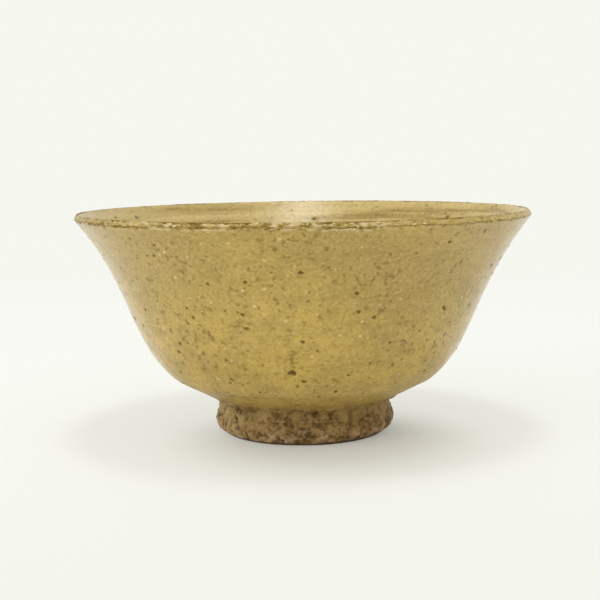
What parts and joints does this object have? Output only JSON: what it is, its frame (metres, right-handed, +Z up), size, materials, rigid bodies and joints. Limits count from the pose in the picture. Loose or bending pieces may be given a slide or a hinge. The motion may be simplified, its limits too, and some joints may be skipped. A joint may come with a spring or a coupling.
{
  "type": "matcha bowl",
  "caption": "Flared stoneware tea bowl with an ochre ash glaze, a bevelled lip with bare edges and a rough swollen foot ring, for whisking and drinking powdered tea.",
  "frame": {"origin": "centre of the foot's sole, on the bowl's axis", "axes": "+Z up along the bowl's axis from the sole to the lip; X and Y lie in the plane the bowl stands on, and -Y faces the picture's camera"},
  "size_m": [0.1498, 0.1498, 0.0739],
  "materials": {
    "stoneware": "bare fired stoneware, brown, matte",
    "foot_clay": "bare coarse stoneware with a thin wash of ash, rough and matte",
    "slip_clay": "bare fired slip, matte",
    "outside_glaze": "semi-gloss mottled ochre ash glaze with dark pits and pale grains",
    "lip_glaze": "thin semi-gloss ochre ash glaze with pale bare patches",
    "inside_glaze": "semi-gloss ochre ash glaze with turning streaks"
  },
  "bodies": {
    "root": {"clay_body": "stoneware", "foot_ring": "foot_clay", "luting_slip": "slip_clay", "outer_glaze": "outside_glaze", "lip_glaze": "lip_glaze", "inner_glaze": "inside_glaze"}
  },
  "joints": []
}
